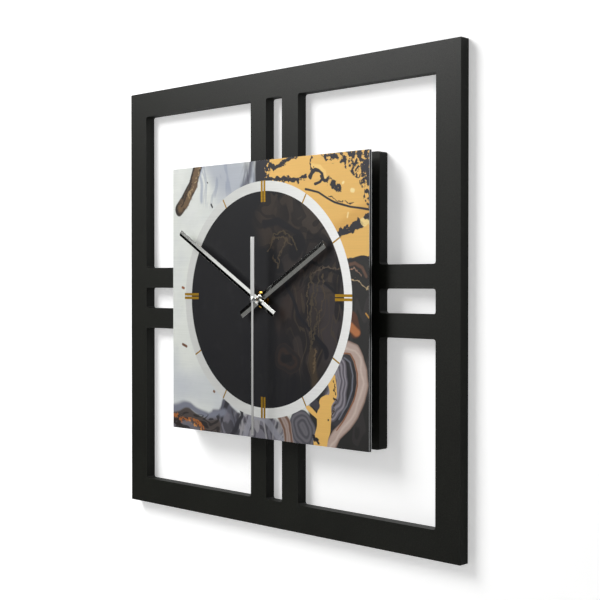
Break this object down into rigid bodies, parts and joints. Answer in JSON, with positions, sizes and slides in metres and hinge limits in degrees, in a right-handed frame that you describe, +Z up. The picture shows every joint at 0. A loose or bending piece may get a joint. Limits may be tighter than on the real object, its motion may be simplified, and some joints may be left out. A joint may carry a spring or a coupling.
{
  "type": "wall clock",
  "caption": "Square wall clock: a black milled frame sheet with open windows, a printed metal dial plate standing off it, and a quartz movement with three hands.",
  "frame": {"origin": "the point on the wall plane, behind the keyhole hanger, where the wall screw's shank bears; the wall is the plane Y = 0", "axes": "+Z up, -Y out of the wall towards the viewer, +X to the viewer's right"},
  "size_m": [0.4, 0.0375, 0.4],
  "materials": {
    "black_mdf": "dyed MDF, sealed matt, with milled edges",
    "printed_aluminium": "brushed aluminium skin with a satin abstract print",
    "bare_aluminium": "mill finish with a fine brush",
    "black_polyethylene": "cut edge of a black polymer core",
    "zinc_plated_steel": "stamped and bright zinc plated",
    "stator_steel": "plain rolled silicon steel",
    "polished_aluminium": "mirror polished, ridged",
    "satin_aluminium": "satin",
    "polished_steel": "polished",
    "brass": "bright turned brass",
    "black_abs": "moulded with a fine spark texture",
    "white_acetal": "moulded acetal",
    "black_rubber": "moulded rubber",
    "ferrite_magnet": "sintered ferrite",
    "enamelled_copper": "layer-wound enamelled copper wire",
    "phenolic_board": "paper phenolic laminate",
    "black_epoxy": "cast epoxy drop",
    "nickel_plating": "nickel plated",
    "battery_wrap": "shrink sleeve with plain bands"
  },
  "bodies": {
    "clock_body": {"frame_sheet": "black_mdf", "hanger_plate": "zinc_plated_steel", "hanger_screw_left": "zinc_plated_steel", "hanger_screw_right": "zinc_plated_steel", "dial_back_skin": "bare_aluminium", "dial_core": "black_polyethylene", "dial_front_skin": "printed_aluminium", "standoff_block_upper_left": "black_mdf", "standoff_block_upper_right": "black_mdf", "standoff_block_lower_left": "black_mdf", "standoff_block_lower_right": "black_mdf", "case_front": "black_abs", "case_cover": "black_abs", "threaded_bush": "brass", "rubber_gasket": "black_rubber", "brass_washer": "brass", "hex_nut": "brass", "middle_plate": "white_acetal", "rear_bridge": "white_acetal", "stator": "stator_steel", "coil_core": "stator_steel", "coil_bobbin": "black_abs", "coil_winding": "enamelled_copper", "circuit_board": "phenolic_board", "chip_cover": "black_epoxy", "quartz_crystal": "nickel_plating", "contact_plus": "nickel_plating", "contact_minus": "nickel_plating"},
    "second_hand_body": {"second_hand": "satin_aluminium", "second_hand_cap": "polished_steel", "second_wheel": "brass"},
    "intermediate_body": {"intermediate_wheel": "white_acetal"},
    "rotor_body": {"rotor": "ferrite_magnet"},
    "third_body": {"third_wheel": "white_acetal"},
    "centre_body": {"centre_wheel": "white_acetal"},
    "minute_hand_body": {"minute_hand": "polished_aluminium", "minute_hand_collet": "polished_aluminium", "minute_tube": "brass"},
    "hour_hand_body": {"hour_hand": "polished_aluminium", "hour_hand_collet": "polished_aluminium", "hour_wheel": "white_acetal"},
    "setting_body": {"minute_wheel": "white_acetal", "setting_knob": "black_abs"},
    "battery_body": {"battery": "battery_wrap"}
  },
  "joints": [
    {"name": "second_hand_turn", "type": "hinge", "parent": "clock_body", "child": "second_hand_body", "pos_m": [0, 0, -0.1917], "axis": [0, 1, 0], "continuous": true},
    {"name": "intermediate_wheel_turn", "type": "hinge", "parent": "clock_body", "child": "intermediate_body", "pos_m": [-0.00312, 0, -0.1863], "axis": [0, 1, 0], "continuous": true},
    {"name": "rotor_turn", "type": "hinge", "parent": "clock_body", "child": "rotor_body", "pos_m": [-0.00797, 0, -0.1835], "axis": [0, 1, 0], "continuous": true},
    {"name": "third_wheel_turn", "type": "hinge", "parent": "clock_body", "child": "third_body", "pos_m": [-0.00393, 0, -0.19639], "axis": [0, 1, 0], "continuous": true},
    {"name": "centre_wheel_turn", "type": "hinge", "parent": "clock_body", "child": "centre_body", "pos_m": [0, 0, -0.1917], "axis": [0, 1, 0], "continuous": true},
    {"name": "minute_hand_turn", "type": "hinge", "parent": "clock_body", "child": "minute_hand_body", "pos_m": [0, 0, -0.1917], "axis": [0, 1, 0], "continuous": true},
    {"name": "hour_hand_turn", "type": "hinge", "parent": "clock_body", "child": "hour_hand_body", "pos_m": [0, 0, -0.1917], "axis": [0, 1, 0], "continuous": true},
    {"name": "setting_knob_turn", "type": "hinge", "parent": "clock_body", "child": "setting_body", "pos_m": [0.00756, 0, -0.19303], "axis": [0, 1, 0], "continuous": true},
    {"name": "battery_slide", "type": "slide", "parent": "clock_body", "child": "battery_body", "axis": [0, 1, 0], "range_m": [0, 0.03]}
  ],
  "couplings": [
    {"joint": "intermediate_wheel_turn", "follows": "second_hand_turn", "ratio": -5},
    {"joint": "rotor_turn", "follows": "second_hand_turn", "ratio": 30},
    {"joint": "third_wheel_turn", "follows": "second_hand_turn", "ratio": -0.13333},
    {"joint": "centre_wheel_turn", "follows": "second_hand_turn", "ratio": 0.016667},
    {"joint": "hour_hand_turn", "follows": "minute_hand_turn", "ratio": 0.083333},
    {"joint": "setting_knob_turn", "follows": "minute_hand_turn", "ratio": -0.33333}
  ]
}
